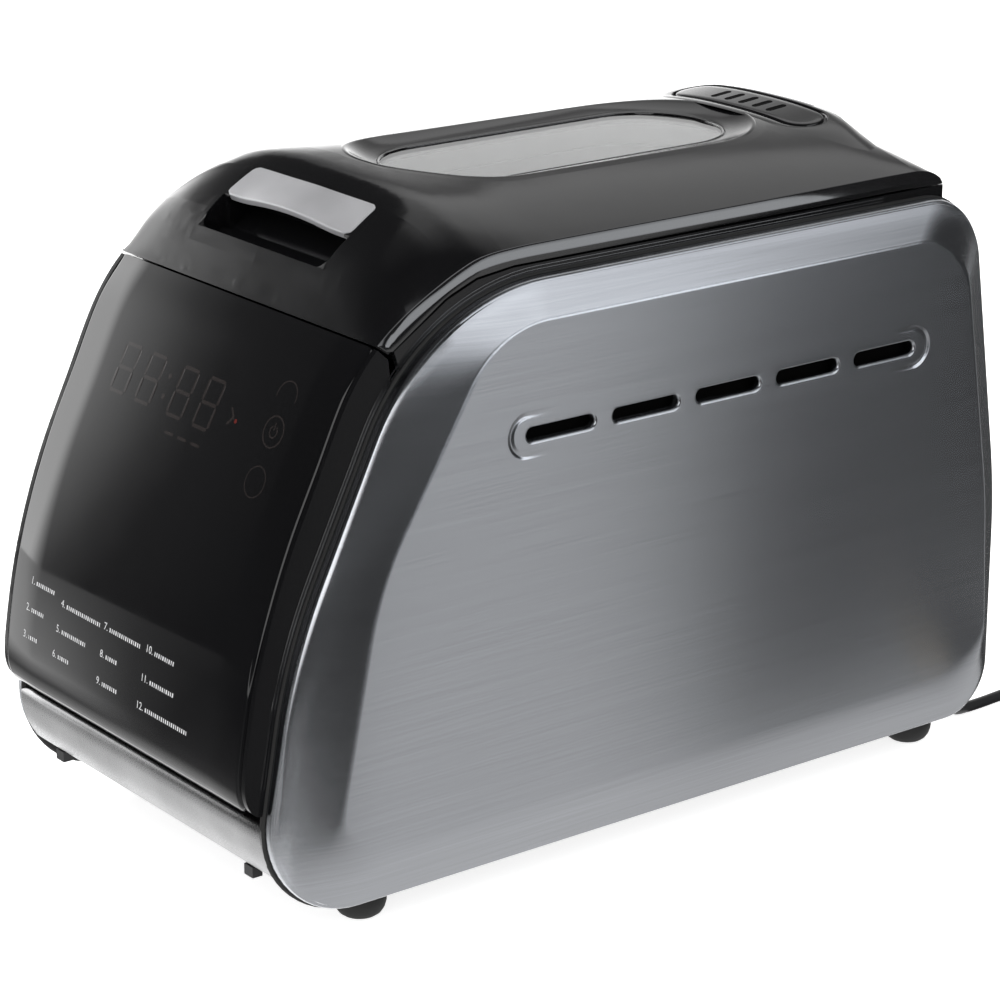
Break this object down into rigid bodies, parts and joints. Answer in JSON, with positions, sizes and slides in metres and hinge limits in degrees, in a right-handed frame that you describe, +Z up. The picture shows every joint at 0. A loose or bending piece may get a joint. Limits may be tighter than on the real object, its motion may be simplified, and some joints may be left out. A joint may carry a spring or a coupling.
{
  "type": "bread machine",
  "caption": "Household bread machine with brushed steel sides, a sloping glossy touch panel, a hinged windowed lid, a lift-out pan and a belt-driven kneading paddle.",
  "frame": {"origin": "on the floor under the middle of the body, at the undersides of the rubber feet", "axes": "+Z up, -Y towards the control panel at the front, +X to the object's right-hand steel side"},
  "size_m": [0.3078, 0.5344, 0.2833],
  "materials": {
    "panel_gloss": "polished",
    "black_gloss": "gloss",
    "black_satin": "satin",
    "black_grained": "fine grain",
    "brushed_steel": "brushed front to back",
    "silver_satin": "satin silver paint",
    "window": "clear",
    "rubber": "matte",
    "lead": "matte",
    "oven_sheet": "aluminised sheet",
    "heater": "oxidised sheath",
    "bare_steel": "ground",
    "nonstick": "non-stick coat",
    "cast_alloy": "die cast",
    "moulded_grey": "moulded",
    "ceramic": "glazed",
    "laminated_iron": "laminated",
    "copper": "enamelled",
    "bronze": "plain",
    "board_green": "solder mask",
    "components": "moulded"
  },
  "bodies": {
    "housing": {"side_panel_right": "brushed_steel", "side_panel_left": "brushed_steel", "control_panel": "panel_gloss", "front_frame": "black_gloss", "lower_strip": "silver_satin", "base_tray": "black_grained", "rubber_feet": "rubber", "rear_cover": "black_grained", "drive_chassis": "oven_sheet", "chassis_pillars": "bare_steel", "bearing_housing": "cast_alloy", "spindle_bushes": "bronze", "drive_belt": "rubber", "motor_core": "laminated_iron", "motor_windings": "copper", "motor_lower_bracket": "oven_sheet", "motor_upper_bracket": "oven_sheet", "motor_capacitor": "moulded_grey", "oven_chamber": "oven_sheet", "pan_seat": "oven_sheet", "pan_clips": "oven_sheet", "heating_element": "heater", "heater_insulators": "ceramic", "heater_clips": "oven_sheet", "temperature_sensor": "heater", "thermal_fuse": "moulded_grey", "display_board": "board_green", "display_module": "components", "power_board": "board_green", "power_board_parts": "components", "board_posts": "moulded_grey", "top_frame": "black_gloss", "hinge_pins": "bare_steel", "cord_gland": "lead", "power_cord": "lead", "power_cord_coil": "lead", "power_cord_tail": "lead", "plug_body": "lead", "plug_pins": "bronze", "housing_screws": "bare_steel"},
    "lid": {"lid_shell": "black_satin", "lid_handle": "silver_satin", "vent_grille": "black_satin", "window_glass": "window", "window_gasket": "rubber", "lid_inner_cover": "black_grained", "lid_liner": "oven_sheet"},
    "pan": {"bread_pan": "nonstick", "pan_base_ring": "cast_alloy", "pan_bushing": "cast_alloy"},
    "bail": {"bail_handle": "bare_steel"},
    "pan_drive": {"pan_shaft": "bare_steel", "pan_coupling": "cast_alloy"},
    "paddle": {"kneading_paddle": "nonstick"},
    "spindle": {"drive_shaft": "bare_steel", "drive_coupler": "cast_alloy", "large_pulley": "moulded_grey"},
    "rotor": {"rotor": "laminated_iron", "rotor_shaft": "bare_steel", "motor_pulley": "moulded_grey"}
  },
  "joints": [
    {"name": "lid_hinge", "type": "hinge", "parent": "housing", "child": "lid", "pos_m": [0, 0.164, 0.254], "axis": [-1, 0, 0], "range_deg": [0, 80]},
    {"name": "pan_lift", "type": "slide", "parent": "housing", "child": "pan", "axis": [0, 0, 1], "range_m": [0, 0.012]},
    {"name": "bail_swing", "type": "hinge", "parent": "pan", "child": "bail", "pos_m": [0, 0.027, 0.197], "axis": [0, -1, 0], "range_deg": [0, 32]},
    {"name": "rotor_spin", "type": "hinge", "parent": "housing", "child": "rotor", "pos_m": [0, -0.122, 0.07], "axis": [0, 0, 1], "continuous": true},
    {"name": "spindle_spin", "type": "hinge", "parent": "housing", "child": "spindle", "pos_m": [0, 0.027, 0.04], "axis": [0, 0, 1], "continuous": true},
    {"name": "shaft_spin", "type": "hinge", "parent": "pan", "child": "pan_drive", "pos_m": [0, 0.027, 0.09], "axis": [0, 0, 1], "continuous": true},
    {"name": "paddle_pull", "type": "slide", "parent": "pan_drive", "child": "paddle", "axis": [0, 0, 1], "range_m": [0, 0.03]}
  ],
  "couplings": [
    {"joint": "spindle_spin", "follows": "rotor_spin", "ratio": 0.25333},
    {"joint": "shaft_spin", "follows": "rotor_spin", "ratio": 0.25333}
  ]
}
